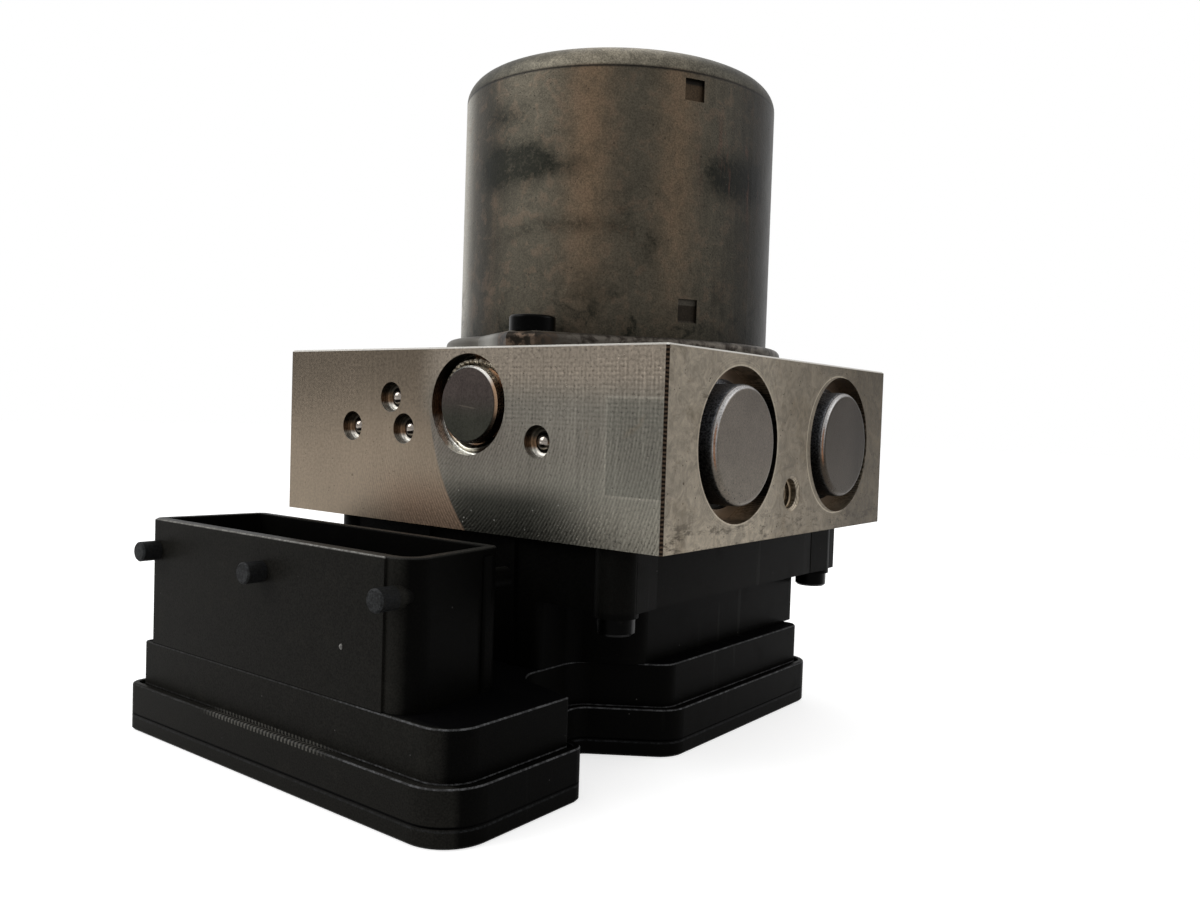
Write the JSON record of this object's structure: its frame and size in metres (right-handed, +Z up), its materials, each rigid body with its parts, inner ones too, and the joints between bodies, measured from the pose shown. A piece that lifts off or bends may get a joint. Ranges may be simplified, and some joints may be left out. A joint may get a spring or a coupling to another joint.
{
  "type": "abs brake module",
  "caption": "Brake pressure module: drilled aluminium block with pump motor on top, capped accumulators in its side and a plastic control unit with connector shroud below.",
  "frame": {"origin": "on the cover's underside, below the motor's axis", "axes": "+Z up along the motor's axis, +X out of the face with the accumulator caps, +Y away from the connector"},
  "size_m": [0.1168, 0.1477, 0.157],
  "materials": {
    "block_aluminium": "milled",
    "steel": "satin",
    "spring_steel": "satin",
    "can_steel": "dull, aged",
    "black_screw": "black oxide",
    "zinc_screw": "satin",
    "black_plastic": "fine grain",
    "coil_plastic": "moulded",
    "copper": "bare",
    "tinned_brass": "tinned",
    "core_iron": "plain",
    "magnet": "sintered",
    "carbon": "pressed",
    "bronze": "sintered",
    "rubber": "smooth",
    "piston_aluminium": "turned",
    "board": "lacquered",
    "component": "moulded"
  },
  "bodies": {
    "module": {"hydraulic_block": "block_aluminium", "ball_plugs": "steel", "retaining_clips": "spring_steel", "inlet_valve_bodies": "steel", "outlet_valve_bodies": "steel", "ecu_housing": "black_plastic", "ecu_cover": "black_plastic", "housing_seal": "rubber", "housing_screws": "zinc_screw", "circuit_board": "board", "board_components": "component", "signal_terminals": "tinned_brass", "power_terminals": "tinned_brass", "motor_plate": "can_steel", "motor_can": "can_steel", "motor_screws": "black_screw", "motor_magnets": "magnet", "brush_holder": "coil_plastic", "brushes": "carbon", "brush_springs": "spring_steel", "bottom_bearing": "steel", "top_bearing": "bronze", "motor_leads": "copper", "pump_plug_front": "steel", "pump_plug_rear": "steel", "pump_sleeve_front": "steel", "pump_sleeve_rear": "steel", "pump_spring_front": "spring_steel", "pump_spring_rear": "spring_steel", "accumulator_cap_front": "steel", "accumulator_cap_rear": "steel", "accumulator_spring_front": "spring_steel", "accumulator_spring_rear": "spring_steel", "coil_bobbins": "coil_plastic", "coil_windings": "copper", "coil_yokes": "core_iron"},
    "rotor": {"rotor_shaft": "steel", "armature_core": "core_iron", "armature_winding": "copper", "commutator": "copper"},
    "ring": {"eccentric_ring": "steel"},
    "pump_piston_front": {"pump_piston_front": "steel"},
    "accumulator_piston_front": {"accumulator_piston_front": "piston_aluminium", "accumulator_ring_front": "rubber"},
    "pump_piston_rear": {"pump_piston_rear": "steel"},
    "accumulator_piston_rear": {"accumulator_piston_rear": "piston_aluminium", "accumulator_ring_rear": "rubber"},
    "inlet_armature_1": {"inlet_armature_1": "core_iron"},
    "inlet_armature_2": {"inlet_armature_2": "core_iron"},
    "inlet_armature_3": {"inlet_armature_3": "core_iron"},
    "inlet_armature_4": {"inlet_armature_4": "core_iron"},
    "outlet_armature_1": {"outlet_armature_1": "core_iron"},
    "outlet_armature_2": {"outlet_armature_2": "core_iron"},
    "outlet_armature_3": {"outlet_armature_3": "core_iron"},
    "outlet_armature_4": {"outlet_armature_4": "core_iron"}
  },
  "joints": [
    {"name": "rotor_spin", "type": "hinge", "parent": "module", "child": "rotor", "pos_m": [0, 0, 0.12], "axis": [0, 0, 1], "continuous": true},
    {"name": "ring_spin", "type": "hinge", "parent": "rotor", "child": "ring", "pos_m": [0.0012, 0, 0.07495], "axis": [0, 0, 1], "continuous": true},
    {"name": "pump_piston_front_slide", "type": "slide", "parent": "module", "child": "pump_piston_front", "axis": [0, -1, 0], "range_m": [0, 0.0024], "stiffness_N_per_m": 800, "springref_m": -0.002, "deforming": ["pump_spring_front"]},
    {"name": "accumulator_piston_front_slide", "type": "slide", "parent": "module", "child": "accumulator_piston_front", "axis": [1, 0, 0], "range_m": [0, 0.007], "stiffness_N_per_m": 2000, "springref_m": -0.003, "deforming": ["accumulator_spring_front"]},
    {"name": "pump_piston_rear_slide", "type": "slide", "parent": "module", "child": "pump_piston_rear", "axis": [0, 1, 0], "range_m": [0, 0.0024], "stiffness_N_per_m": 800, "springref_m": -0.002, "deforming": ["pump_spring_rear"]},
    {"name": "accumulator_piston_rear_slide", "type": "slide", "parent": "module", "child": "accumulator_piston_rear", "axis": [1, 0, 0], "range_m": [0, 0.007], "stiffness_N_per_m": 2000, "springref_m": -0.003, "deforming": ["accumulator_spring_rear"]},
    {"name": "inlet_armature_1_slide", "type": "slide", "parent": "module", "child": "inlet_armature_1", "axis": [0, 0, 1], "range_m": [0, 0.0004], "stiffness_N_per_m": 2000, "springref_m": -0.0005},
    {"name": "inlet_armature_2_slide", "type": "slide", "parent": "module", "child": "inlet_armature_2", "axis": [0, 0, 1], "range_m": [0, 0.0004], "stiffness_N_per_m": 2000, "springref_m": -0.0005},
    {"name": "inlet_armature_3_slide", "type": "slide", "parent": "module", "child": "inlet_armature_3", "axis": [0, 0, 1], "range_m": [0, 0.0004], "stiffness_N_per_m": 2000, "springref_m": -0.0005},
    {"name": "inlet_armature_4_slide", "type": "slide", "parent": "module", "child": "inlet_armature_4", "axis": [0, 0, 1], "range_m": [0, 0.0004], "stiffness_N_per_m": 2000, "springref_m": -0.0005},
    {"name": "outlet_armature_1_slide", "type": "slide", "parent": "module", "child": "outlet_armature_1", "axis": [0, 0, -1], "range_m": [0, 0.0004], "stiffness_N_per_m": 2000, "springref_m": -0.0005},
    {"name": "outlet_armature_2_slide", "type": "slide", "parent": "module", "child": "outlet_armature_2", "axis": [0, 0, -1], "range_m": [0, 0.0004], "stiffness_N_per_m": 2000, "springref_m": -0.0005},
    {"name": "outlet_armature_3_slide", "type": "slide", "parent": "module", "child": "outlet_armature_3", "axis": [0, 0, -1], "range_m": [0, 0.0004], "stiffness_N_per_m": 2000, "springref_m": -0.0005},
    {"name": "outlet_armature_4_slide", "type": "slide", "parent": "module", "child": "outlet_armature_4", "axis": [0, 0, -1], "range_m": [0, 0.0004], "stiffness_N_per_m": 2000, "springref_m": -0.0005}
  ]
}
